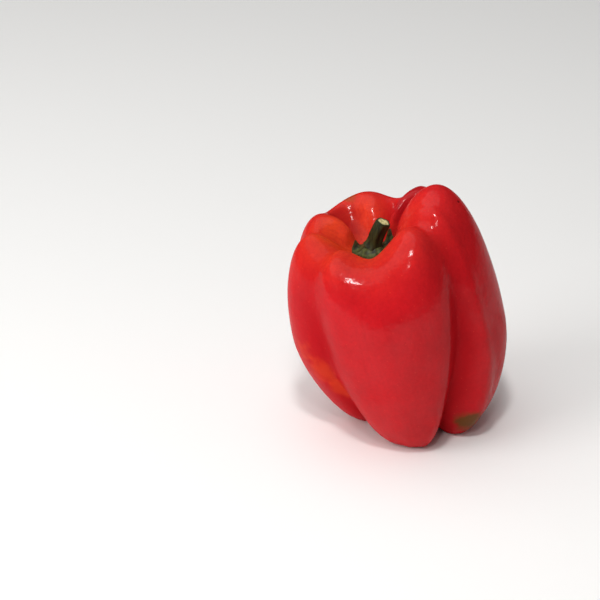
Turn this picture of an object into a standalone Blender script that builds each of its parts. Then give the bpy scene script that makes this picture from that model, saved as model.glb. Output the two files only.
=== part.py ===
"""Bell pepper: one four-lobed fruit standing on its lobe tips, its green calyx and its cut stem.

Frame: metres, +Z up, the ground at z = 0, the lobe tips on the ground, -Y is the front.
The fruit leans to -X: its blossom end is near the origin and its stem cavity is to the left of it.
"""
import math

import bmesh
import bpy
from mathutils import Vector
from mathutils.bvhtree import BVHTree

MM = 0.001

# ---- driving dimensions, millimetres and degrees ----
FOOT = (7.7, 0.6)             # the fruit's axis where it meets the ground
SEAT = (-10.8, 1.6, 77.6)     # middle of the floor of the stem cavity
SEAT_RADIUS = 7.5             # flat floor under the calyx
SEAT_SLOPE = 0.12             # the floor tips to +X: rise per millimetre
BLOSSOM_END = 15.0            # height of the blossom end between the lobe tips
GROUND_CUT = 0.0              # the tips are pressed flat here

# Each shoulder bump, anticlockwise from the front left. The three triples are the azimuth,
# the reach from the axis and the height, at the crest, at the belly and at the tip. Then how
# full the side is above and below the belly (2 is round, 1.5 is leaner), and how late the wall
# of the stem cavity rises (a low value makes it bulge over the stem).
LOBES = (
    ("front_left", (234, 20.5, 86.2), (243, 41.5, 52.0), (254, 22.7, -0.9), (2.3, 1.9), 0.82),
    ("front_right", (317, 25.6, 96.7), (296, 43.0, 54.0), (274, 23.5, -0.9), (2.4, 1.9), 0.8),
    ("right_front", (341, 29.3, 101.5), (332, 45.5, 46.0), (318, 20.2, -1.0), (2.1, 1.8), 0.7),
    ("right", (6, 32.6, 105.9), (4, 49.3, 50.0), (339, 21.5, 0.2), (2.2, 1.6), 0.56),
    ("back_right", (36, 31.0, 99.2), (42, 45.0, 48.0), (45, 20.0, 3.0), (1.9, 1.8), 0.42),
    ("back", (84, 27.0, 92.8), (90, 41.0, 50.0), (98, 21.0, -1.6), (1.9, 1.8), 0.85),
    ("back_left", (146, 23.0, 88.5), (146, 41.0, 45.0), (134, 20.0, 2.0), (1.8, 1.8), 0.6),
    ("left", (193, 23.5, 88.0), (193, 43.0, 40.0), (182, 19.5, -1.7), (1.8, 1.7), 0.82),
)
# The groove after each bump: its azimuth, its cut into the reach and its narrowness, each at the
# crest, belly and tip; how far it lowers the crest and lifts the tip; its depth on the wall.
GROOVES = (
    ((272, 268, 264), (1.3, -0.7, -1.0), (2.0, 1.6, 1.6), (7.6, 0.0), 0.0),
    ((330, 320, 291), (1.2, 7.5, 8.5), (1.2, 1.8, 2.4), (3.2, 14.0), 1.0),
    ((353, 342, 328), (0.2, 1.2, 0.0), (1.6, 1.6, 1.6), (-0.4, 0.0), 0.0),
    ((24, 22, 15), (0.6, 4.0, 5.0), (1.8, 2.0, 2.4), (1.2, 10.0), 6.0),
    ((56, 64, 70), (2.6, 7.0, 7.0), (1.7, 2.0, 2.4), (4.2, 12.0), 6.0),
    ((126, 117, 116), (1.0, 3.0, 2.0), (1.7, 2.0, 2.0), (3.0, 4.0), 4.0),
    ((175, 170, 156), (2.0, 6.5, 7.0), (2.0, 2.0, 2.4), (3.5, 13.0), 1.2),
    ((217, 221, 217), (2.3, 5.2, 5.5), (1.0, 1.4, 2.4), (3.0, 10.0), 0.0),
)
GROOVE_SOFTNESS = (0.8, 0.3, 0.12)            # at the crest, belly and tip
CREASE_SHAPE = (2.6, 0.14)    # narrowness and softness of a groove on the cavity's wall
GROOVE_ONSET = 2.4            # over 1, a groove deepens slowly over the shoulder
COLUMNS = (0.0, 0.1, 0.28, 0.5, 0.72, 0.9)    # from one groove to the next
ROWS = (6, 6, 7, 5)           # seat to crest, to belly, to tip, to blossom end

STEM_PATH = (                 # middle of the peduncle, from the calyx to the cut
    (-10.9, 1.7, 80.3),
    (-10.5, 1.6, 82.4),
    (-9.3, 1.3, 85.4),
    (-8.1, 1.05, 88.2),
    (-7.0, 0.8, 91.0),
)
STEM_RADII = (4.2, 3.6, 3.3, 3.2, 3.25)
CALYX_RADIUS = 7.8            # to the hollows between its points
CALYX_POINT = 1.2             # how far each point runs out beyond that
CALYX_POINTS = 6
POINT_SHARPNESS = 3           # a higher power makes the points narrower
CALYX_EDGE = 0.8              # thickness at the edge
CALYX_THINNEST = 0.4
WAVE_TOP = 0.18               # how far the upper side rises and falls round the edge
WAVE_UNDER = 0.14             # how far the underside lifts at the edge
WAVES = 5
COLLAR_RADIUS = 4.8           # where the peduncle's foot stands
COLLAR_FADE = 2.6             # the flat collar blends into the leaf over this width
CALYX_COLUMNS = 48
CALYX_RINGS = (0.28, 0.46, 0.62, 0.8, 1.0)
GAP = 0.3                     # between pieces that touch
RAY_HEIGHT = 0.2              # metres: rays that look for the skin start well above the fruit
SLIVER = 0.00006              # metres: edges shorter than this are closed up
CUTTER_SIZE = (0.2, 0.2, 0.02)
STEM_SIDES = 3                # bevel resolution of the round stem


def ease(t):
    return t * t * (3 - 2 * t)


def mix(a, b, t):
    return a + (b - a) * t


def azimuth_at(station, u):
    """Azimuth of the meridian u, where bump i is at u = i and the groove after it at i + 0.5."""
    ring = []
    for lobe, groove in zip(LOBES, GROOVES):
        for value in (lobe[1 + station][0], groove[0][station]):
            while ring and value < ring[-1]:
                value += 360
            ring.append(value)
    i = math.floor(2 * u)
    f = 2 * u - i
    a, b, c, d = (ring[k % len(ring)] + 360 * (k // len(ring)) for k in range(i - 1, i + 3))
    slope_b, slope_c = (c - a) / 2, (d - b) / 2
    return mix(b, c, ease(f)) + slope_b * f * (1 - f) ** 2 - slope_c * f * f * (1 - f)


def notch(q, narrowness, softness):
    """1 in the groove (q = 0) and 0 on the ridges beside it (q = 1)."""
    far = math.hypot(1, softness)
    return ((far - math.hypot(q, softness)) / (far - softness)) ** narrowness


def meridian(u):
    """Azimuth, reach and height of each row down one meridian, from the seat to the blossom end."""
    i = math.floor(u)
    here, after = LOBES[i % len(LOBES)], LOBES[(i + 1) % len(LOBES)]
    groove = GROOVES[i % len(LOBES)]
    e = ease(u - i)
    q = abs(u - i - 0.5) * 2
    notches = [notch(q, groove[2][s], GROOVE_SOFTNESS[s]) for s in range(3)]
    az = [azimuth_at(s, u) for s in range(3)]
    reach = [mix(here[1 + s][1], after[1 + s][1], e) for s in range(3)]
    cut = [groove[1][s] * notches[s] for s in range(3)]
    high = [mix(here[1 + s][2], after[1 + s][2], e) for s in range(3)]
    high[0] -= groove[3][0] * notches[0]
    high[2] += groove[3][1] * notches[2]
    above, below = (mix(here[4][k], after[4][k], e) for k in range(2))
    wall = mix(here[5], after[5], e)
    crease = groove[4] * notch(q, *CREASE_SHAPE)
    floor = SEAT[2] + SEAT_SLOPE * SEAT_RADIUS * math.cos(math.radians(az[0]))
    rows = []
    for k in range(ROWS[0]):
        t = k / ROWS[0]
        rise = mix(floor, high[0], ease(t ** wall)) - crease * 4 * t * (1 - t)
        rows.append((az[0], mix(SEAT_RADIUS, reach[0], t) - cut[0] * t, rise))
    for k in range(ROWS[1]):
        t = k / ROWS[1]
        out = math.sin(t * math.pi / 2) ** (2 / above)
        up = math.cos(t * math.pi / 2) ** (2 / above)
        side = mix(reach[0], reach[1], out) - mix(cut[0], cut[1], t ** GROOVE_ONSET)
        rows.append((mix(az[0], az[1], t), side, mix(high[1], high[0], up)))
    for k in range(ROWS[2]):
        t = k / ROWS[2]
        down = math.sin(t * math.pi / 2) ** (2 / below)
        out = math.cos(t * math.pi / 2) ** (2 / below)
        side = mix(reach[2] - cut[2], reach[1] - cut[1], out)
        rows.append((mix(az[1], az[2], t), side, mix(high[1], high[2], down)))
    for k in range(ROWS[3]):
        t = k / ROWS[3]
        rows.append((az[2], (reach[2] - cut[2]) * (1 - t), mix(high[2], BLOSSOM_END, ease(t))))
    return rows


def on_fruit(az, reach, height):
    """A point from its azimuth and reach about the leaning axis, in metres."""
    t = height / SEAT[2]
    angle = math.radians(az)
    x = mix(FOOT[0], SEAT[0], t) + reach * math.cos(angle)
    y = mix(FOOT[1], SEAT[1], t) + reach * math.sin(angle)
    return Vector((x, y, height)) * MM


def principled(name, colour, roughness):
    material = bpy.data.materials.new(name)
    material.use_nodes = True
    shader = material.node_tree.nodes["Principled BSDF"]
    shader.inputs["Base Color"].default_value = (*colour, 1.0)
    shader.inputs["Roughness"].default_value = roughness
    shader.inputs["Metallic"].default_value = 0.0
    return material


def new_object(name, data, collection, material):
    obj = bpy.data.objects.new(name, data)
    data.materials.append(material)
    collection.objects.link(obj)
    return obj


def add_fruit(collection):
    """A sphere whose rows and columns are moved onto the lobes, then smoothed."""
    columns = len(LOBES) * len(COLUMNS)
    rows = sum(ROWS)
    grid = []
    for i in range(len(LOBES)):
        for step in COLUMNS:
            grid.append([on_fruit(*point) for point in meridian(i + 0.5 + step)])
    bm = bmesh.new()
    bmesh.ops.create_uvsphere(bm, u_segments=columns, v_segments=rows + 1, radius=1.0)
    for vert in bm.verts:
        row = round(math.acos(max(-1.0, min(1.0, vert.co.z))) / math.pi * (rows + 1))
        column = round(math.atan2(vert.co.y, vert.co.x) / math.tau * columns) % columns
        if row == 0:
            vert.co = on_fruit(0, 0, SEAT[2])
        elif row == rows + 1:
            vert.co = on_fruit(0, 0, BLOSSOM_END)
        else:
            vert.co = grid[column][row - 1]
    mesh = bpy.data.meshes.new("fruit")
    bm.to_mesh(mesh)
    bm.free()
    mesh.shade_smooth()
    fruit = new_object("fruit", mesh, collection, principled("red_skin", (0.55, 0.010, 0.008), 0.24))
    smooth = fruit.modifiers.new("smooth", "SUBSURF")
    smooth.levels = 1
    smooth.render_levels = 1
    return fruit


def add_ground_cut(fruit, collection):
    """Presses the lobe tips flat where the fruit stands."""
    bm = bmesh.new()
    bmesh.ops.create_cube(bm, size=1.0)
    mesh = bpy.data.meshes.new("ground_cutter")
    bm.to_mesh(mesh)
    bm.free()
    cutter = bpy.data.objects.new("ground_cutter", mesh)
    collection.objects.link(cutter)
    cutter.scale = CUTTER_SIZE
    cutter.location = (0.0, 0.0, GROUND_CUT * MM - CUTTER_SIZE[2] / 2)
    cutter.display_type = "WIRE"
    cutter.hide_render = True
    cut = fruit.modifiers.new("stand_flat", "BOOLEAN")
    cut.operation = "DIFFERENCE"
    cut.solver = "EXACT"
    cut.object = cutter
    tidy = fruit.modifiers.new("no_slivers", "WELD")
    tidy.merge_threshold = SLIVER


def add_calyx(collection, skin):
    """A wavy six-pointed cap draped on the cavity's floor, with a flat collar for the peduncle."""
    foot = Vector(STEM_PATH[0])
    along = (Vector(STEM_PATH[1]) - foot).normalized()

    def radius(angle, ring):
        star = abs(math.cos(angle * CALYX_POINTS / 2)) ** POINT_SHARPNESS
        return ring * (CALYX_RADIUS + CALYX_POINT * star * ring * ring)

    def height_on_skin(x, y):
        hit = skin.ray_cast(Vector((x * MM, y * MM, RAY_HEIGHT)), Vector((0.0, 0.0, -1.0)))
        return hit[0].z / MM

    def pair(x, y, ring, angle):
        under = height_on_skin(x, y) + GAP
        top = under + CALYX_EDGE + WAVE_TOP * ring * math.sin(WAVES * angle)
        level = foot.z - GAP - ((x - foot.x) * along.x + (y - foot.y) * along.y) / along.z
        away = math.hypot(x - foot.x, y - foot.y)
        blend = ease(max(0.0, min(1.0, (away - COLLAR_RADIUS) / COLLAR_FADE)))
        top = mix(level, max(top, under + CALYX_THINNEST), blend)
        return Vector((x, y, under + WAVE_UNDER * ring * ring)) * MM, Vector((x, y, top)) * MM

    bm = bmesh.new()
    loops = []
    for ring in CALYX_RINGS:
        under, top = [], []
        for k in range(CALYX_COLUMNS):
            angle = k * math.tau / CALYX_COLUMNS
            r = radius(angle, ring)
            low, high = pair(foot.x + r * math.cos(angle), foot.y + r * math.sin(angle), ring, angle)
            under.append(bm.verts.new(low))
            top.append(bm.verts.new(high))
        loops.append((under, top))
    low, high = pair(foot.x, foot.y, 0.0, 0.0)
    middle = (bm.verts.new(low), bm.verts.new(high))
    for k in range(CALYX_COLUMNS):
        n = (k + 1) % CALYX_COLUMNS
        bm.faces.new((middle[1], loops[0][1][k], loops[0][1][n]))
        bm.faces.new((middle[0], loops[0][0][n], loops[0][0][k]))
        for inner, outer in zip(loops, loops[1:]):
            bm.faces.new((inner[1][k], outer[1][k], outer[1][n], inner[1][n]))
            bm.faces.new((inner[0][n], outer[0][n], outer[0][k], inner[0][k]))
        under, top = loops[-1]
        bm.faces.new((top[k], under[k], under[n], top[n]))
    mesh = bpy.data.meshes.new("calyx")
    bm.to_mesh(mesh)
    bm.free()
    mesh.shade_smooth()
    return new_object("calyx", mesh, collection, principled("green_calyx", (0.060, 0.110, 0.018), 0.6))


def add_stem(collection):
    """The cut peduncle: a bent rod, thickest at its foot."""
    curve = bpy.data.curves.new("stem", "CURVE")
    curve.dimensions = "3D"
    curve.bevel_depth = MM
    curve.bevel_resolution = STEM_SIDES
    curve.use_fill_caps = True
    spline = curve.splines.new("POLY")
    spline.points.add(len(STEM_PATH) - 1)
    for point, place, radius in zip(spline.points, STEM_PATH, STEM_RADII):
        point.co = (*(Vector(place) * MM), 1.0)
        point.radius = radius
    return new_object("stem", curve, collection, principled("green_stem", (0.045, 0.070, 0.015), 0.65))


def main():
    for obj in list(bpy.data.objects):
        bpy.data.objects.remove(obj, do_unlink=True)
    parts = bpy.data.collections.new("bell_pepper")
    cutters = bpy.data.collections.new("cutters")
    bpy.context.scene.collection.children.link(parts)
    bpy.context.scene.collection.children.link(cutters)
    fruit = add_fruit(parts)
    bpy.context.view_layer.update()
    depsgraph = bpy.context.evaluated_depsgraph_get()
    skin = BVHTree.FromObject(fruit, depsgraph)
    add_ground_cut(fruit, cutters)
    add_calyx(parts, skin)
    add_stem(parts)


main()
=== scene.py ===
"""The looks of a red bell pepper: its waxy skin, green calyx and cut stem, on a pale floor."""
import math

import bmesh
import bpy
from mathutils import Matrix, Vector, noise
from mathutils.bvhtree import BVHTree


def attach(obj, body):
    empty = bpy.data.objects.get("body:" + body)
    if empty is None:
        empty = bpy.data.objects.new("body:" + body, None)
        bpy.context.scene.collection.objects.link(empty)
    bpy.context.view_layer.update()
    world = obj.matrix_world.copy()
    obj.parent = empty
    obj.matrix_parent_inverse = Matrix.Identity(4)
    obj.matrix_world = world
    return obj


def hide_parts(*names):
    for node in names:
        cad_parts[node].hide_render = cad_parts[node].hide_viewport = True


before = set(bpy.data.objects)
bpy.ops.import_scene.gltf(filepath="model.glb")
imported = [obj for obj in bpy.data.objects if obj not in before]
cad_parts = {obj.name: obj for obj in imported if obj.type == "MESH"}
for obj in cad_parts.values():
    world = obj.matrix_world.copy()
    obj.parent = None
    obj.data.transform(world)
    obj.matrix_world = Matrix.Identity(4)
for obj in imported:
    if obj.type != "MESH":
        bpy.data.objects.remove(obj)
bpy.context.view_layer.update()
MM = 0.001

# ---- Camera ----
# A long lens a little under a metre away, looking down on the pepper's front as it stands.
# The aim is left of the pepper, so it stands right of the middle of the frame.
LENS_MM = 129.6
SENSOR_MM = 36.0
AIM = Vector((-41.0, -0.4, 56.1)) * MM
CAMERA_DISTANCE = 0.9
CAMERA_DROP = math.radians(27.0)

eye = bpy.data.cameras.new("camera")
eye.lens = LENS_MM
eye.sensor_width = SENSOR_MM
eye.clip_end = 20.0
camera = bpy.data.objects.new("camera", eye)
camera.location = AIM + CAMERA_DISTANCE * Vector((0.0, -math.cos(CAMERA_DROP), math.sin(CAMERA_DROP)))
camera.rotation_euler = (math.pi / 2 - CAMERA_DROP, 0.0, 0.0)
bpy.context.scene.collection.objects.link(camera)
bpy.context.scene.camera = camera

# ---- Fruit skin ----
# The whole outside of the ripe fruit: a thin tough skin under a natural wax, grown in one piece
# over eight shoulder bumps on four lobes. The sizes are the CAD fruit's own, in millimetres and
# degrees, with a few small swellings and waves that only the looks need.
FOOT = (7.7, 0.6)                 # the fruit's axis where it meets the ground
SEAT = (-10.8, 1.6, 77.6)         # middle of the floor of the stem cavity
SEAT_RADIUS = 7.5
SEAT_SLOPE = 0.12
BLOSSOM_END = 15.0

# Each bump anticlockwise from the front left: azimuth, reach and height at the crest, the belly
# and the tip, how full the side is above and below the belly, and how late the wall inside the
# crown rises (a low value makes it bulge over the stem).
LOBES = (
    ("front_left", (234, 20.5, 86.2), (243, 41.5, 52.0), (254, 22.7, -0.9), (2.3, 1.9), 0.82),
    ("front_right", (317, 25.6, 96.7), (296, 43.0, 54.0), (274, 23.5, -0.9), (2.4, 1.9), 0.8),
    ("right_front", (341, 29.3, 101.5), (332, 45.5, 46.0), (318, 20.2, -1.0), (2.2, 1.8), 0.62),
    ("right", (6, 32.6, 105.9), (4, 49.3, 50.0), (339, 21.5, 0.2), (2.2, 1.6), 0.56),
    ("back_right", (36, 31.0, 99.2), (42, 45.0, 48.0), (45, 20.0, 3.0), (1.9, 1.8), 0.42),
    ("back", (84, 27.0, 92.8), (90, 41.0, 50.0), (98, 21.0, -1.6), (1.9, 1.8), 0.85),
    ("back_left", (146, 23.0, 88.5), (146, 41.0, 45.0), (134, 20.0, 2.0), (1.8, 1.8), 0.6),
    ("left", (193, 23.5, 88.0), (193, 43.0, 40.0), (182, 19.5, -1.7), (1.8, 1.7), 0.82),
)
# The groove after each bump: its azimuth, its cut into the reach and its narrowness, each at the
# crest, belly and tip; how far it lowers the crest and lifts the tip; its depth on the wall.
GROOVES = (
    ((272, 268, 264), (1.3, -0.7, -1.0), (2.0, 1.6, 1.6), (7.6, 0.0), 0.0),
    ((330, 320, 291), (1.2, 7.5, 8.5), (1.2, 1.8, 2.4), (3.2, 14.0), 1.0),
    ((353, 342, 328), (0.2, 1.2, 0.0), (1.6, 1.6, 1.6), (-0.4, 0.0), 0.0),
    ((24, 22, 15), (0.6, 4.0, 5.0), (1.8, 2.0, 2.4), (1.2, 10.0), 6.0),
    ((56, 64, 70), (2.6, 7.0, 7.0), (1.7, 2.0, 2.4), (4.2, 12.0), 6.0),
    ((126, 117, 116), (1.0, 3.0, 2.0), (1.7, 2.0, 2.0), (3.0, 4.0), 4.0),
    ((175, 170, 156), (2.0, 6.5, 7.0), (2.0, 2.0, 2.4), (3.5, 13.0), 1.2),
    ((217, 221, 217), (2.3, 5.2, 5.5), (1.0, 1.4, 2.4), (3.0, 10.0), 0.0),
)
GROOVE_SOFTNESS = (0.8, 0.3, 0.12)    # how round the bottom of a groove is at crest, belly, tip
CREASE_SHAPE = (2.6, 0.14)            # narrowness and softness of a groove on the crown's wall
GROOVE_ONSET = 2.4                    # over 1, so that grooves deepen slowly over the shoulder
# Painted shade: the grooves are painted darker red by their depth.
FULL_GROOVE = 6.0                     # a groove this deep takes all of the groove's colour
COLUMNS = (0.0, 0.05, 0.12, 0.21, 0.31, 0.43, 0.57, 0.69, 0.79, 0.88, 0.95)
SKIN_ROWS = (10, 12, 14, 8)       # seat to crest, to belly, to tip, to blossom end

# Small swellings and hollows: azimuth and its spread, place down the fruit and its spread
# (0 seat, 1 crest, 2 belly, 3 tip), and how far it stands out.
SWELLINGS = (
    (108, 14, 0.60, 0.28, -2.0),      # hollow of the back wall
    (86, 12, 0.60, 0.30, 1.4),        # rib of the back wall beside it
    (139, 9, 0.52, 0.30, 2.2),        # back left shoulder bulges into the crown
    (151, 15, 0.30, 0.11, 1.4),       # curled fold of flesh beside the calyx
)
PLEATS = 26                           # fine folds that run down into the calyx
PLEAT_DEPTH = 0.12
UNDULATIONS = ((15.0, 0.28), (5.5, 0.06))    # wavelength and height of the skin's unevenness


def ease(t):
    return t * t * (3 - 2 * t)


def mix(a, b, t):
    return a + (b - a) * t


def azimuth_at(station, u):
    """Azimuth of the meridian u, where bump i is at u = i and the groove after it at i + 0.5."""
    ring = []
    for lobe, groove in zip(LOBES, GROOVES):
        for value in (lobe[1 + station][0], groove[0][station]):
            while ring and value < ring[-1]:
                value += 360
            ring.append(value)
    i = math.floor(2 * u)
    f = 2 * u - i
    a, b, c, d = (ring[k % len(ring)] + 360 * (k // len(ring)) for k in range(i - 1, i + 3))
    slope_b, slope_c = (c - a) / 2, (d - b) / 2
    return mix(b, c, ease(f)) + slope_b * f * (1 - f) ** 2 - slope_c * f * f * (1 - f)


def notch(q, narrowness, softness):
    """1 in the groove (q = 0) and 0 on the ridges beside it (q = 1)."""
    far = math.hypot(1, softness)
    return ((far - math.hypot(q, softness)) / (far - softness)) ** narrowness


def meridian(u):
    """Azimuth, reach, height, place down the fruit and depth of groove (which paints shade), row by row.
    """
    i = math.floor(u)
    here, after = LOBES[i % len(LOBES)], LOBES[(i + 1) % len(LOBES)]
    groove = GROOVES[i % len(LOBES)]
    e = ease(u - i)
    q = abs(u - i - 0.5) * 2
    notches = [notch(q, groove[2][s], GROOVE_SOFTNESS[s]) for s in range(3)]
    az = [azimuth_at(s, u) for s in range(3)]
    reach = [mix(here[1 + s][1], after[1 + s][1], e) for s in range(3)]
    cut = [groove[1][s] * notches[s] for s in range(3)]
    high = [mix(here[1 + s][2], after[1 + s][2], e) for s in range(3)]
    high[0] -= groove[3][0] * notches[0]
    high[2] += groove[3][1] * notches[2]
    above, below = (mix(here[4][k], after[4][k], e) for k in range(2))
    wall = mix(here[5], after[5], e)
    crease = groove[4] * notch(q, *CREASE_SHAPE)
    floor_here = SEAT[2] + SEAT_SLOPE * SEAT_RADIUS * math.cos(math.radians(az[0]))
    depth = [notches[s] * min(1.0, max(0.0, groove[1][s] / FULL_GROOVE)) for s in range(3)]
    rows = []
    for section, count in enumerate(SKIN_ROWS):
        for k in range(count):
            t = k / count
            if section == 0:
                up = ease(t ** wall)
                hump = 4 * t * (1 - t)
                point = (az[0], mix(SEAT_RADIUS, reach[0], t) - cut[0] * t,
                         mix(floor_here, high[0], up) - crease * hump)
                # The creases on the crown's wall get painted shade too.
                deep = depth[0] * t + crease / FULL_GROOVE * hump
            elif section == 1:
                out = math.sin(t * math.pi / 2) ** (2 / above)
                up = math.cos(t * math.pi / 2) ** (2 / above)
                point = (mix(az[0], az[1], t),
                         mix(reach[0], reach[1], out) - mix(cut[0], cut[1], t ** GROOVE_ONSET),
                         mix(high[1], high[0], up))
                deep = mix(depth[0], depth[1], t ** GROOVE_ONSET)
            elif section == 2:
                down = math.sin(t * math.pi / 2) ** (2 / below)
                out = math.cos(t * math.pi / 2) ** (2 / below)
                point = (mix(az[1], az[2], t),
                         mix(reach[2] - cut[2], reach[1] - cut[1], out),
                         mix(high[1], high[2], down))
                deep = mix(depth[1], depth[2], t)
            else:
                point = (az[2], (reach[2] - cut[2]) * (1 - t), mix(high[2], BLOSSOM_END, ease(t)))
                deep = depth[2] * (1 - t)
            rows.append((*point, section + t, deep))
    return rows


def on_fruit(az, reach, height):
    """A point from its azimuth and reach about the leaning axis, in metres."""
    t = height / SEAT[2]
    angle = math.radians(az)
    x = mix(FOOT[0], SEAT[0], t) + reach * math.cos(angle)
    y = mix(FOOT[1], SEAT[1], t) + reach * math.sin(angle)
    return Vector((x, y, height)) * MM


def stands_out(az, place, co):
    """How far the skin stands out of its smooth form here, in millimetres."""
    out = 0.0
    for swell_az, spread, at, length, height in SWELLINGS:
        turn = (az - swell_az + 180) % 360 - 180
        out += height * math.exp(-((turn / spread) ** 2) - ((place - at) / length) ** 2)
    if place < 1.0:
        out += PLEAT_DEPTH * math.cos(math.radians(az * PLEATS)) * (1 - place) ** 2
    for wavelength, height in UNDULATIONS:
        out += height * noise.noise(co / (wavelength * MM))
    return out


def make_skin():
    """The fruit's skin: a sphere's grid of vertices, each moved to its place on its meridian."""
    grid = []
    for i in range(len(LOBES)):
        for step in COLUMNS:
            grid.append(meridian(i + 0.5 + step))
    columns, rows = len(grid), sum(SKIN_ROWS)
    bm = bmesh.new()
    around = bm.verts.layers.float_vector.new("around")
    place = bm.verts.layers.float.new("place")
    groove = bm.verts.layers.float.new("groove")
    bmesh.ops.create_uvsphere(bm, u_segments=columns, v_segments=rows + 1, radius=1.0)
    turn = {}
    for vert in bm.verts:
        row = round(math.acos(max(-1.0, min(1.0, vert.co.z))) / math.pi * (rows + 1))
        column = round(math.atan2(vert.co.y, vert.co.x) / math.tau * columns) % columns
        if row == 0:
            vert.co = on_fruit(0, 0, SEAT[2])
            vert[place] = 0.0
            turn[vert] = 0.0
        elif row == rows + 1:
            vert.co = on_fruit(0, 0, BLOSSOM_END)
            vert[place] = 4.0
            turn[vert] = 0.0
        else:
            az, reach, height, down, deep = grid[column][row - 1]
            vert.co = on_fruit(az, reach, height)
            vert[place] = down
            vert[groove] = deep
            turn[vert] = az
        angle = math.radians(turn[vert])
        vert[around] = Vector((math.cos(angle), math.sin(angle), 0.0))
    bm.normal_update()
    moves = [vert.normal * stands_out(turn[vert], vert[place], vert.co) * MM for vert in bm.verts]
    for vert, move in zip(bm.verts, moves):
        vert.co += move
    mesh = bpy.data.meshes.new("fruit_skin")
    bm.to_mesh(mesh)
    bm.free()
    mesh.shade_smooth()
    skin = bpy.data.objects.new("fruit_skin", mesh)
    bpy.context.scene.collection.objects.link(skin)
    smooth = skin.modifiers.new("smooth", "SUBSURF")
    smooth.levels = 2
    smooth.render_levels = 2
    return skin


def press_flat(piece):
    """Takes the smoothed mesh as it is and presses what lies below the ground up to it."""
    bpy.context.view_layer.update()
    graph = bpy.context.evaluated_depsgraph_get()
    mesh = bpy.data.meshes.new_from_object(piece.evaluated_get(graph))
    for vert in mesh.vertices:
        vert.co.z = max(vert.co.z, 0.0)
    piece.modifiers.clear()
    piece.data = mesh


def srgb(hex_colour):
    """Linear red, green, blue and alpha from an sRGB hex value."""
    channels = [int(hex_colour[k:k + 2], 16) / 255 for k in (1, 3, 5)]
    return (*[c / 12.92 if c <= 0.04045 else ((c + 0.055) / 1.055) ** 2.4 for c in channels], 1.0)


def add_node(tree, kind, inputs=None, **settings):
    """Adds one node, sets its settings, and fills or links its inputs."""
    node = tree.nodes.new(kind)
    for name, value in settings.items():
        setattr(node, name, value)
    for name, value in (inputs or {}).items():
        if isinstance(value, bpy.types.NodeSocket):
            tree.links.new(value, node.inputs[name])
        else:
            node.inputs[name].default_value = value
    return node


def per_mm(size):
    """A texture's scale in object coordinates for features of this size in millimetres."""
    return 1 / (size * MM)


RIPE_RED = "#C61A21"
DEEP_RED_AND_PAINTED_SHADE = "#A01219"
ORANGE_RIPENESS_AND_PAINTED_GLOW = "#F2541F"
PALE_FLECK = "#DE4A38"
OLIVE_PATCH = "#4E4214"
CORK_BROWN = "#6B4A2A"
SCAR_BROWN = "#2A0A08"
UNRIPE_GREEN = "#5A4A14"
SIDE = 44.8                           # the belly's reach, and about the way from crest to belly
STREAK_WIDTH = 1.75
STREAK_LENGTH = 28.0


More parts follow.
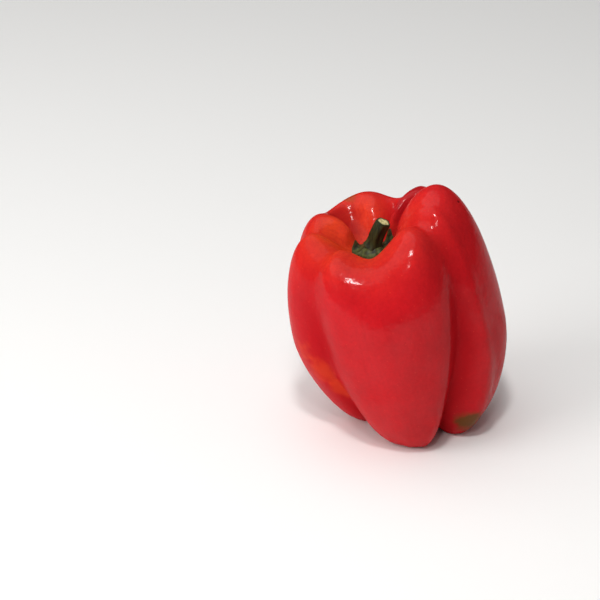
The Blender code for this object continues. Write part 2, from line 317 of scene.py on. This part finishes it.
def waxed_pepper_skin():
    """Ripe pepper skin: red flesh seen through a clear waxed cuticle.

    It gives a deep red that turns orange on the shoulders and the left side, partly from ripening and
    partly as painted light, faint streaks down the lobes, painted shade in the grooves and in the
    crown, a painted highlight low on the left lobe, a clear gloss that dulls here and there and in
    the grooves, and small waves that break the highlights.
    """
    material = bpy.data.materials.new("waxed_pepper_skin")
    material.use_nodes = True
    tree = material.node_tree
    shader = tree.nodes["Principled BSDF"]
    place = add_node(tree, "ShaderNodeAttribute", attribute_name="place").outputs["Fac"]
    groove = add_node(tree, "ShaderNodeAttribute", attribute_name="groove").outputs["Fac"]
    around = add_node(tree, "ShaderNodeAttribute", attribute_name="around").outputs["Vector"]
    spot = add_node(tree, "ShaderNodeTexCoord").outputs["Object"]

    shoulder = add_node(tree, "ShaderNodeMapRange", {
        "Value": place, "From Min": 0.3, "From Max": 1.75, "To Min": 0.95, "To Max": 0.0,
    }, interpolation_type="SMOOTHSTEP").outputs["Result"]
    # Orange in blotches of a fingertip's size, partly uneven ripening and partly painted light on the
    # shoulders and on the left side, where the lamps light it.
    blotch = add_node(tree, "ShaderNodeTexNoise", {
        "Vector": spot, "Scale": per_mm(22), "Detail": 3.0, "Roughness": 0.55,
    }).outputs["Fac"]
    # Painted light: the side towards the left lamps gets more orange.
    painted_lit_side = add_node(tree, "ShaderNodeVectorMath", {0: around, 1: (-0.9, -0.35, 0.0)},
                        operation="DOT_PRODUCT").outputs["Value"]
    painted_lit_side = add_node(tree, "ShaderNodeMapRange", {
        "Value": painted_lit_side, "From Min": -0.9, "From Max": 0.5, "To Min": 0.25, "To Max": 1.3,
    }).outputs["Result"]
    ripening_and_painted_glow = add_node(tree, "ShaderNodeMath", {0: shoulder, 1: blotch}, operation="MULTIPLY").outputs[0]
    ripening_and_painted_glow = add_node(tree, "ShaderNodeMath", {0: ripening_and_painted_glow, 1: painted_lit_side}, operation="MULTIPLY").outputs[0]
    colour = add_node(tree, "ShaderNodeMixRGB", {
        "Fac": ripening_and_painted_glow, "Color1": srgb(RIPE_RED), "Color2": srgb(ORANGE_RIPENESS_AND_PAINTED_GLOW),
    }).outputs["Color"]

    # Streaks down the lobes, narrow around the fruit and long down it, and wider clouds.
    lengthways = add_node(tree, "ShaderNodeCombineXYZ", {"Z": place}).outputs["Vector"]
    lengthways = add_node(tree, "ShaderNodeVectorMath", {
        0: lengthways, 1: (0.0, 0.0, SIDE / STREAK_LENGTH),
    }, operation="MULTIPLY").outputs["Vector"]
    grain = add_node(tree, "ShaderNodeVectorMath", {
        0: around, 1: (SIDE / STREAK_WIDTH, SIDE / STREAK_WIDTH, 0.0),
    }, operation="MULTIPLY").outputs["Vector"]
    grain = add_node(tree, "ShaderNodeVectorMath", {0: grain, 1: lengthways},
                     operation="ADD").outputs["Vector"]
    streak = add_node(tree, "ShaderNodeTexNoise", {
        "Vector": grain, "Scale": 1.0, "Detail": 4.0, "Roughness": 0.6,
    }).outputs["Fac"]
    streak = add_node(tree, "ShaderNodeMapRange", {
        "Value": streak, "From Min": 0.4, "From Max": 0.8, "To Min": 0.0, "To Max": 0.16,
    }).outputs["Result"]
    cloud = add_node(tree, "ShaderNodeTexNoise", {
        "Vector": spot, "Scale": per_mm(14), "Detail": 5.0, "Roughness": 0.65,
    }).outputs["Fac"]
    cloud = add_node(tree, "ShaderNodeMapRange", {
        "Value": cloud, "From Min": 0.42, "From Max": 0.65, "To Min": 0.0, "To Max": 0.3,
    }).outputs["Result"]
    streak = add_node(tree, "ShaderNodeMath", {0: streak, 1: cloud}, operation="ADD").outputs[0]
    colour = add_node(tree, "ShaderNodeMixRGB", {
        "Fac": streak, "Color1": colour, "Color2": srgb(DEEP_RED_AND_PAINTED_SHADE),
    }).outputs["Color"]
    # Painted shade: the grooves, and the creases on the crown's wall, are darkened to deep red.
    deep = add_node(tree, "ShaderNodeMath", {0: groove, 1: 0.65}, operation="MULTIPLY").outputs[0]
    colour = add_node(tree, "ShaderNodeMixRGB", {
        "Fac": deep, "Color1": colour, "Color2": srgb(DEEP_RED_AND_PAINTED_SHADE),
    }).outputs["Color"]

    # Fine mottling of the flesh just under the skin. Its cells are under a tenth of a millimetre
    # across, so it is drawn at 1.3 mm, as coarse as it needs to show.
    mottle = add_node(tree, "ShaderNodeTexNoise", {
        "Vector": spot, "Scale": per_mm(1.3), "Detail": 3.0, "Roughness": 0.7,
    }).outputs["Fac"]
    mottle = add_node(tree, "ShaderNodeMapRange", {
        "Value": mottle, "From Min": 0.4, "From Max": 0.68, "To Min": 0.0, "To Max": 0.3,
    }).outputs["Result"]
    colour = add_node(tree, "ShaderNodeMixRGB", {
        "Fac": mottle, "Color1": colour, "Color2": srgb(DEEP_RED_AND_PAINTED_SHADE),
    }).outputs["Color"]

    # Pale flecks, one every few millimetres, each a fraction of a millimetre across.
    fleck = add_node(tree, "ShaderNodeTexVoronoi", {
        "Vector": spot, "Scale": per_mm(3.2), "Randomness": 1.0,
    }).outputs["Distance"]
    fleck = add_node(tree, "ShaderNodeMapRange", {
        "Value": fleck, "From Min": 0.05, "From Max": 0.11, "To Min": 0.3, "To Max": 0.0,
    }).outputs["Result"]
    colour = add_node(tree, "ShaderNodeMixRGB", {
        "Fac": fleck, "Color1": colour, "Color2": srgb(PALE_FLECK),
    }).outputs["Color"]

    # The marks, and the patches of painted highlight and painted shade, each with a ragged edge.
    ragged = add_node(tree, "ShaderNodeTexNoise", {
        "Vector": spot, "Scale": per_mm(4), "Detail": 4.0,
    }).outputs["Fac"]
    for centre, size, strength, shade in MARKS_AND_PAINTED_LIGHT:
        away = add_node(tree, "ShaderNodeVectorMath", {0: spot, 1: tuple(c * MM for c in centre)},
                        operation="DISTANCE").outputs["Value"]
        away = add_node(tree, "ShaderNodeMath", {0: away, 1: 1 / (size * MM), 2: -0.5},
                        operation="MULTIPLY_ADD").outputs[0]
        away = add_node(tree, "ShaderNodeMath", {0: away, 1: ragged}, operation="ADD").outputs[0]
        patch = add_node(tree, "ShaderNodeMapRange", {
            "Value": away, "From Min": 0.35, "From Max": 1.05, "To Min": strength, "To Max": 0.0,
        }, interpolation_type="SMOOTHSTEP").outputs["Result"]
        colour = add_node(tree, "ShaderNodeMixRGB", {
            "Fac": patch, "Color1": colour, "Color2": srgb(shade),
        }).outputs["Color"]

    # Corky scar where the flower fell off, under the fruit.
    cork = add_node(tree, "ShaderNodeMapRange", {
        "Value": place, "From Min": 3.86, "From Max": 3.95, "To Min": 0.0, "To Max": 0.9,
    }).outputs["Result"]
    colour = add_node(tree, "ShaderNodeMixRGB", {
        "Fac": cork, "Color1": colour, "Color2": srgb(CORK_BROWN),
    }).outputs["Color"]
    tree.links.new(colour, shader.inputs["Base Color"])

    # The wax is the only glossy layer, and the flesh under it scatters light. The wax is rubbed
    # dull in patches of 9 mm and hardly shines in the grooves.
    gloss = add_node(tree, "ShaderNodeMapRange", {
        "Value": blotch, "From Min": 0.3, "From Max": 0.7, "To Min": 0.34, "To Max": 0.44,
    }).outputs["Result"]
    tree.links.new(gloss, shader.inputs["Roughness"])
    bloom = add_node(tree, "ShaderNodeTexNoise", {
        "Vector": spot, "Scale": per_mm(9), "Detail": 3.0, "Roughness": 0.6,
    }).outputs["Fac"]
    bloom = add_node(tree, "ShaderNodeMapRange", {
        "Value": bloom, "From Min": 0.4, "From Max": 0.7, "To Min": 1.0, "To Max": 0.6,
    }).outputs["Result"]
    wax = add_node(tree, "ShaderNodeMapRange", {
        "Value": groove, "From Min": 0.0, "From Max": 0.7, "To Min": 0.46, "To Max": 0.06,
    }).outputs["Result"]
    wax = add_node(tree, "ShaderNodeMath", {0: wax, 1: bloom}, operation="MULTIPLY").outputs[0]
    tree.links.new(wax, shader.inputs["Coat Weight"])

    # Waves of the skin, 3 mm apart, that break the highlights, and its pits. Real pits are far
    # finer, so they are drawn at 1.4 mm, as coarse as they need to show.
    pitted = add_node(tree, "ShaderNodeTexNoise", {
        "Vector": spot, "Scale": per_mm(1.4), "Detail": 2.0,
    }).outputs["Fac"]
    waves = add_node(tree, "ShaderNodeTexNoise", {
        "Vector": spot, "Scale": per_mm(3.0), "Detail": 1.0,
    }).outputs["Fac"]
    bump = add_node(tree, "ShaderNodeBump", {
        "Height": waves, "Strength": 1.0, "Distance": 0.16 * MM,
    })
    bump = add_node(tree, "ShaderNodeBump", {
        "Height": pitted, "Strength": 1.0, "Distance": 0.05 * MM, "Normal": bump.outputs["Normal"],
    })
    tree.links.new(bump.outputs["Normal"], shader.inputs["Normal"])
    tree.links.new(bump.outputs["Normal"], shader.inputs["Coat Normal"])
    shader.inputs["IOR"].default_value = 1.45
    shader.inputs["Specular IOR Level"].default_value = 0.0
    shader.inputs["Subsurface Weight"].default_value = 0.12
    shader.inputs["Subsurface Radius"].default_value = (1.0, 0.15, 0.08)
    shader.inputs["Subsurface Scale"].default_value = 3.0 * MM
    shader.inputs["Coat IOR"].default_value = 1.45
    shader.inputs["Coat Roughness"].default_value = 0.12
    return material


# Marks on the skin, and patches of painted highlight and painted shade: centre and radius in
# millimetres, strength and colour.
MARKS_AND_PAINTED_LIGHT = (
    ((29.9, -20.4, 9.6), 8.0, 0.85, OLIVE_PATCH),         # rubbed olive patch over the right tip
    # Painted highlight: three orange patches make a lighter band low on the left lobe.
    ((-35.0, -12.0, 41.0), 8.0, 0.26, ORANGE_RIPENESS_AND_PAINTED_GLOW),   # lighter band low on the left lobe
    ((-30.0, -16.5, 33.0), 9.0, 0.28, ORANGE_RIPENESS_AND_PAINTED_GLOW),
    ((-23.5, -19.5, 25.0), 8.0, 0.26, ORANGE_RIPENESS_AND_PAINTED_GLOW),
    ((23.6, 1.2, 100.4), 0.9, 0.9, SCAR_BROWN),           # pinhead scar on the tall shoulder
    # Painted shade: three deep red patches darken the hollows inside the crown.
    ((1.0, 12.5, 91.0), 8.0, 0.9, DEEP_RED_AND_PAINTED_SHADE),               # painted shade: deeper red in the crown's recesses, which lie in shadow
    ((6.0, 16.0, 97.5), 7.0, 0.9, DEEP_RED_AND_PAINTED_SHADE),               # less sun reached it
    ((-22.0, 19.0, 84.0), 9.0, 0.5, DEEP_RED_AND_PAINTED_SHADE),
    ((-20.0, 28.0, 90.0), 4.0, 0.45, UNRIPE_GREEN),       # green tinge on the back shoulder
)

skin = make_skin()
press_flat(skin)
skin.data.materials.append(waxed_pepper_skin())
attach(skin, "root")
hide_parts("fruit")

# ---- Calyx ----
# The green cap left from the flower: a thin leathery star with a wavy margin, grown onto the
# floor of the crown and swelling in the middle into the foot of the stem.
STEM_FOOT = Vector((-10.9, 1.7, 80.3))
STEM_TOP = Vector((-7.0, 0.8, 91.0))
CALYX_RADIUS = 8.2
CALYX_POINTS = ((28, 0.9), (82, 1.2), (140, 1.2), (185, 0.6), (252, 1.2), (308, 1.6))
POINT_SPREAD = 17.0               # degrees
MARGIN_WAVER = 0.35
CALYX_THICK = 1.0
MARGIN_THICK = 0.35
CALYX_GAP = 0.05                  # clear of the skin under it
MARGIN_LIFT = 0.9                 # how far the margin curls up off the skin
CALYX_FOLDS = ((9, 2.0, 0.35), (17, 0.0, 0.25))    # how many around, where, and how high
COLLAR_RADIUS = 4.6              # the middle swells into the foot of the stem
COLLAR_HEIGHT = 2.4
COLLAR_TOP = CALYX_THICK + COLLAR_HEIGHT
CALYX_COLUMNS = 120
CALYX_RINGS = (0.3, 0.42, 0.52, 0.6, 0.68, 0.76, 0.84, 0.92, 0.97, 1.0)


def calyx_edge(angle):
    """Radius of the star's margin, in millimetres."""
    degrees = math.degrees(angle)
    out = CALYX_RADIUS + MARGIN_WAVER * noise.noise(Vector((math.cos(angle), math.sin(angle), 0.3)) * 2.6)
    for at, length in CALYX_POINTS:
        turn = (degrees - at + 180) % 360 - 180
        out += length * math.exp(-abs(turn / POINT_SPREAD) ** 1.5)
    return out


def make_calyx(skin):
    """The star: rings of vertices that follow the skin under it, an under side and a top."""
    graph = bpy.context.evaluated_depsgraph_get()
    floor_of_crown = BVHTree.FromObject(skin, graph)

    def crown_height(x, y):
        """How high the skin lies under a point of the plan, in millimetres."""
        return floor_of_crown.ray_cast(Vector((x, y, 200)) * MM, Vector((0, 0, -1)))[0].z / MM

    bm = bmesh.new()
    ring_layer = bm.verts.layers.float.new("ring")
    loops = []
    for ring in CALYX_RINGS:
        under, top = [], []
        for k in range(CALYX_COLUMNS):
            angle = k * math.tau / CALYX_COLUMNS
            reach = calyx_edge(angle) * ring
            x = STEM_FOOT.x + reach * math.cos(angle)
            y = STEM_FOOT.y + reach * math.sin(angle)
            hit = crown_height(x, y)
            fold = sum(height * math.sin(count * angle + turn) * ring ** (k + 1)
                       for k, (count, turn, height) in enumerate(CALYX_FOLDS))
            curl = max(0.0, ring - 0.8) / 0.2 * (0.5 + 0.5 * math.sin(5 * angle + 0.6))
            lift = CALYX_GAP + MARGIN_LIFT * curl
            thick = mix(CALYX_THICK, MARGIN_THICK, ring ** 3)
            swell = COLLAR_HEIGHT * math.exp(-((reach / COLLAR_RADIUS) ** 4))
            low = hit + lift
            high = low + thick + swell + fold * (1 - ring ** 4) * 0.6
            for where, z in ((under, low), (top, max(high, low + 0.3))):
                vert = bm.verts.new(Vector((x, y, z)) * MM)
                vert[ring_layer] = ring
                where.append(vert)
        loops.append((under, top))
    hit = crown_height(STEM_FOOT.x, STEM_FOOT.y)
    middle = [bm.verts.new(Vector((STEM_FOOT.x, STEM_FOOT.y, hit + z)) * MM)
              for z in (CALYX_GAP, COLLAR_TOP)]
    for k in range(CALYX_COLUMNS):
        n = (k + 1) % CALYX_COLUMNS
        bm.faces.new((middle[1], loops[0][1][k], loops[0][1][n]))
        bm.faces.new((middle[0], loops[0][0][n], loops[0][0][k]))
        for inner, outer in zip(loops, loops[1:]):
            bm.faces.new((inner[1][k], outer[1][k], outer[1][n], inner[1][n]))
            bm.faces.new((inner[0][n], outer[0][n], outer[0][k], inner[0][k]))
        under, top = loops[-1]
        bm.faces.new((top[k], under[k], under[n], top[n]))
    mesh = bpy.data.meshes.new("calyx_star")
    bm.to_mesh(mesh)
    bm.free()
    mesh.shade_smooth()
    calyx = bpy.data.objects.new("calyx_star", mesh)
    bpy.context.scene.collection.objects.link(calyx)
    smooth = calyx.modifiers.new("smooth", "SUBSURF")
    smooth.levels = 1
    smooth.render_levels = 1
    return calyx


def leathery_calyx():
    """Calyx tissue: a matt green leathery leaf, gone dark and a little brown at its margin.

    It gives mottled light and dark greens, low blisters between the veins and a dull sheen.
    """
    material = bpy.data.materials.new("leathery_calyx")
    material.use_nodes = True
    tree = material.node_tree
    shader = tree.nodes["Principled BSDF"]
    spot = add_node(tree, "ShaderNodeTexCoord").outputs["Object"]
    ring = add_node(tree, "ShaderNodeAttribute", attribute_name="ring").outputs["Fac"]
    mottle = add_node(tree, "ShaderNodeTexNoise", {
        "Vector": spot, "Scale": per_mm(2.6), "Detail": 4.0, "Roughness": 0.6,
    }).outputs["Fac"]
    mottle = add_node(tree, "ShaderNodeMapRange", {
        "Value": mottle, "From Min": 0.38, "From Max": 0.62,
    }).outputs["Result"]
    colour = add_node(tree, "ShaderNodeMixRGB", {
        "Fac": mottle, "Color1": srgb("#1A1D0A"), "Color2": srgb("#4C5424"),
    }).outputs["Color"]
    margin = add_node(tree, "ShaderNodeMapRange", {
        "Value": ring, "From Min": 0.9, "From Max": 1.0, "To Min": 0.0, "To Max": 0.5,
    }).outputs["Result"]
    colour = add_node(tree, "ShaderNodeMixRGB", {
        "Fac": margin, "Color1": colour, "Color2": srgb("#3A3012"),
    }).outputs["Color"]
    tree.links.new(colour, shader.inputs["Base Color"])
    # Blisters between the veins, about a millimetre across.
    blisters = add_node(tree, "ShaderNodeTexNoise", {
        "Vector": spot, "Scale": per_mm(1.1), "Detail": 3.0,
    }).outputs["Fac"]
    bump = add_node(tree, "ShaderNodeBump", {"Height": blisters, "Strength": 1.0, "Distance": 0.35 * MM})
    tree.links.new(bump.outputs["Normal"], shader.inputs["Normal"])
    shader.inputs["Roughness"].default_value = 0.5
    shader.inputs["IOR"].default_value = 1.42
    return material


calyx = make_calyx(skin)
calyx.data.materials.append(leathery_calyx())
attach(calyx, "root")
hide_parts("calyx")

# ---- Stem ----
# The stalk that the pepper hung by: a fibrous five-ribbed rod that flares into the calyx and
# was cut through with shears.
STEM_RADIUS = 3.1
STEM_FLARE = 1.3
STEM_BOW = (-0.315, 0.0525, 0.0)     # how far its middle stands off a straight line
RIBS = 5
RIB_HEIGHT = 0.22
RIB_WAVER = 0.12
STEM_COLUMNS = 60
STEM_RINGS = 26
STEM_ROOT = -0.03                 # the stem starts a little below its foot, inside the calyx
CUT_AT = 1.015                       # the cut edge is a little beyond the last ring


def stem_axis(t):
    """A point on the stem's middle line: it leaves the calyx upright and leans over to the right."""
    return STEM_FOOT.lerp(STEM_TOP, t) + Vector(STEM_BOW) * math.sin(math.pi * t)


def stem_ring(t, scale=1.0):
    """The points of one ring of the stem at t along it, in metres."""
    along = (STEM_TOP - STEM_FOOT).normalized()
    side = along.cross(Vector((0, 1, 0))).normalized()
    front = side.cross(along)
    points = []
    for k in range(STEM_COLUMNS):
        angle = k * math.tau / STEM_COLUMNS
        waver = noise.noise(Vector((math.cos(angle) * 1.5, math.sin(angle) * 1.5, t * 2.0)))
        rib = RIB_HEIGHT * math.cos(RIBS * angle + 0.8) + RIB_WAVER * waver
        radius = STEM_RADIUS + rib + STEM_FLARE * math.exp(-((t + 0.12) / 0.2) ** 2)
        out = (side * math.cos(angle) + front * math.sin(angle)) * radius * scale
        points.append((stem_axis(t) + out) * MM)
    return points


def make_stem():
    """The stalk: rings of vertices up its middle line, closed at both ends."""
    bm = bmesh.new()
    rings = []
    for k in range(STEM_RINGS + 1):
        t = mix(STEM_ROOT, 1.0, k / STEM_RINGS)
        rings.append([bm.verts.new(p) for p in stem_ring(t)])
    rings.append([bm.verts.new(p) for p in stem_ring(CUT_AT, 0.97)])
    for low, high in zip(rings, rings[1:]):
        for k in range(STEM_COLUMNS):
            n = (k + 1) % STEM_COLUMNS
            bm.faces.new((low[k], low[n], high[n], high[k]))
    bm.faces.new(list(reversed(rings[0])))
    bm.faces.new(rings[-1])
    bmesh.ops.recalc_face_normals(bm, faces=bm.faces)
    mesh = bpy.data.meshes.new("stem_stalk")
    bm.to_mesh(mesh)
    bm.free()
    mesh.shade_smooth()
    mesh.set_sharp_from_angle(angle=math.radians(50))
    stem = bpy.data.objects.new("stem_stalk", mesh)
    bpy.context.scene.collection.objects.link(stem)
    return stem


def fibrous_stalk():
    """Stalk skin: tough green bark, dried a little, with fibres along its length.

    It gives a dark dull green with olive streaks, and fine ridges that catch the light.
    """
    material = bpy.data.materials.new("fibrous_stalk")
    material.use_nodes = True
    tree = material.node_tree
    shader = tree.nodes["Principled BSDF"]
    spot = add_node(tree, "ShaderNodeTexCoord").outputs["Object"]
    # Fibres 1.3 mm apart and seven times as long. Real ones are finer, and drawn coarser here
    # so that they show.
    fibres = add_node(tree, "ShaderNodeMapping", {
        "Vector": spot, "Scale": (1.0, 1.0, 0.15),
    }).outputs["Vector"]
    fibre = add_node(tree, "ShaderNodeTexNoise", {
        "Vector": fibres, "Scale": per_mm(1.3), "Detail": 4.0, "Roughness": 0.6,
    }).outputs["Fac"]
    tone = add_node(tree, "ShaderNodeMapRange", {
        "Value": fibre, "From Min": 0.35, "From Max": 0.65,
    }).outputs["Result"]
    colour = add_node(tree, "ShaderNodeMixRGB", {
        "Fac": tone, "Color1": srgb("#0C0F07"), "Color2": srgb("#363A1A"),
    }).outputs["Color"]
    tree.links.new(colour, shader.inputs["Base Color"])
    bump = add_node(tree, "ShaderNodeBump", {"Height": fibre, "Strength": 1.0, "Distance": 0.25 * MM})
    tree.links.new(bump.outputs["Normal"], shader.inputs["Normal"])
    shader.inputs["Roughness"].default_value = 0.55
    shader.inputs["IOR"].default_value = 1.42
    return material


stem = make_stem()
stem.data.materials.append(fibrous_stalk())
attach(stem, "root")
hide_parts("stem")

# ---- Cut end of the stem ----
# The end grain where the shears went through: a green rind round pale moist wood and a softer
# pith, dried a little since it was cut.
CUT_RINGS = (0.35, 0.6, 0.78, 0.86, 0.93)
CUT_ROUGHNESS = 0.12
CUT_DISH = 0.10                      # the pith has shrunk below the rind
CUT_STANDS_OUT = 0.06
CUT_THICK = 0.3


def make_cut_end():
    """The cut face: rings across the stalk's end, roughened, with a little thickness."""
    bm = bmesh.new()
    ring_layer = bm.verts.layers.float.new("ring")
    up = (STEM_TOP - STEM_FOOT).normalized()
    loops = []
    for ring in CUT_RINGS:
        loop = []
        for p in stem_ring(CUT_AT, ring):
            rough = CUT_ROUGHNESS * noise.noise(p / MM * 1.1) - CUT_DISH * (1 - ring)
            vert = bm.verts.new(p + up * (CUT_STANDS_OUT + rough * (CUT_RINGS[-1] - ring)) * MM)
            vert[ring_layer] = ring
            loop.append(vert)
        loops.append(loop)
    centre = sum((vert.co for vert in loops[0]), Vector()) / STEM_COLUMNS
    middle = bm.verts.new(centre)
    for k in range(STEM_COLUMNS):
        n = (k + 1) % STEM_COLUMNS
        bm.faces.new((middle, loops[0][k], loops[0][n]))
        for inner, outer in zip(loops, loops[1:]):
            bm.faces.new((inner[k], outer[k], outer[n], inner[n]))
    mesh = bpy.data.meshes.new("stem_cut_end")
    bm.to_mesh(mesh)
    bm.free()
    mesh.shade_smooth()
    cut_end = bpy.data.objects.new("stem_cut_end", mesh)
    bpy.context.scene.collection.objects.link(cut_end)
    thick = cut_end.modifiers.new("thick", "SOLIDIFY")
    thick.thickness = CUT_THICK * MM
    thick.offset = -1.0
    return cut_end


def cut_stalk_wood():
    """Cut stalk wood: moist end grain, sheared and left to dry.

    It gives a pale yellow-green face with darker pores, a dark green rind and a dull surface.
    """
    material = bpy.data.materials.new("cut_stalk_wood")
    material.use_nodes = True
    tree = material.node_tree
    shader = tree.nodes["Principled BSDF"]
    spot = add_node(tree, "ShaderNodeTexCoord").outputs["Object"]
    ring = add_node(tree, "ShaderNodeAttribute", attribute_name="ring").outputs["Fac"]
    pores = add_node(tree, "ShaderNodeTexNoise", {
        "Vector": spot, "Scale": per_mm(0.9), "Detail": 4.0, "Roughness": 0.65,
    }).outputs["Fac"]
    tone = add_node(tree, "ShaderNodeMapRange", {
        "Value": pores, "From Min": 0.35, "From Max": 0.65,
    }).outputs["Result"]
    colour = add_node(tree, "ShaderNodeMixRGB", {
        "Fac": tone, "Color1": srgb("#9A9250"), "Color2": srgb("#EAE4AA"),
    }).outputs["Color"]
    rind = add_node(tree, "ShaderNodeMapRange", {
        "Value": ring, "From Min": 0.6, "From Max": 0.8, "To Min": 0.0, "To Max": 1.0,
    }).outputs["Result"]
    colour = add_node(tree, "ShaderNodeMixRGB", {
        "Fac": rind, "Color1": colour, "Color2": srgb("#232C10"),
    }).outputs["Color"]
    tree.links.new(colour, shader.inputs["Base Color"])
    bump = add_node(tree, "ShaderNodeBump", {"Height": pores, "Strength": 1.0, "Distance": 0.3 * MM})
    tree.links.new(bump.outputs["Normal"], shader.inputs["Normal"])
    shader.inputs["Roughness"].default_value = 0.6
    shader.inputs["IOR"].default_value = 1.4
    return material


cut_end = make_cut_end()
cut_end.data.materials.append(cut_stalk_wood())
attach(cut_end, "root")
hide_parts("stem")

# ---- Floor ----
# A sheet of matt white paper that the pepper stands on, larger than any view of it needs. It
# isn't part of the object.
FLOOR_SIZE = 5.0

bm = bmesh.new()
bmesh.ops.create_grid(bm, x_segments=8, y_segments=8, size=FLOOR_SIZE / 2)
sheet = bpy.data.meshes.new("floor")
bm.to_mesh(sheet)
bm.free()
floor = bpy.data.objects.new("floor", sheet)
bpy.context.scene.collection.objects.link(floor)
paper = bpy.data.materials.new("matt_white_paper")
paper.use_nodes = True
paper_shader = paper.node_tree.nodes["Principled BSDF"]
paper_shader.inputs["Base Color"].default_value = srgb("#F7F6F4")
paper_shader.inputs["Roughness"].default_value = 0.9
paper_shader.inputs["Specular IOR Level"].default_value = 0.2
sheet.materials.append(paper)

# ---- Light ----
# A bright lamp high in front and a weaker one below it give the crisp glints, and a large soft
# panel overhead lights the shoulders. Two panels at the left only lift the shadows, so they are
# kept out of the reflections. Beyond them is a dim room, lighter towards its ceiling.
LAMPS = (
    # name, place and width in metres, watts, seen in reflections
    ("key", (-0.08, -0.46, 1.05), 0.13, 3.7, True),
    ("lower key", (-0.04, -0.72, 0.86), 0.10, 1.3, True),
    ("overhead", (-0.40, 0.10, 1.26), 1.60, 7.6, True),
    ("left panel", (-0.95, -0.45, 0.62), 0.70, 6.0, False),
    ("low panel", (-0.55, -0.72, 0.10), 0.50, 1.7, False),
)
LAMP_AIM = Vector((0.0, 0.0, 0.06))

for name, place, width, watts, in_reflections in LAMPS:
    data = bpy.data.lights.new(name, "AREA")
    data.shape = "DISK"
    data.size = width
    data.energy = watts
    lamp = bpy.data.objects.new(name, data)
    lamp.location = place
    lamp.rotation_euler = (LAMP_AIM - Vector(place)).to_track_quat("-Z", "Y").to_euler()
    lamp.visible_glossy = in_reflections
    bpy.context.scene.collection.objects.link(lamp)

room = bpy.data.worlds.new("room")
room.use_nodes = True
bpy.context.scene.world = room
tree = room.node_tree
height = add_node(tree, "ShaderNodeSeparateXYZ", {
    "Vector": add_node(tree, "ShaderNodeTexCoord").outputs["Generated"],
}).outputs["Z"]
brightness = add_node(tree, "ShaderNodeMapRange", {
    "Value": height, "From Min": 0.25, "From Max": 0.9, "To Min": 0.06, "To Max": 0.25,
}, interpolation_type="SMOOTHSTEP").outputs["Result"]
tree.links.new(brightness, tree.nodes["Background"].inputs["Strength"])
tree.nodes["Background"].inputs["Color"].default_value = (1.0, 1.0, 1.0, 1.0)
bpy.context.scene.view_settings.view_transform = "Standard"
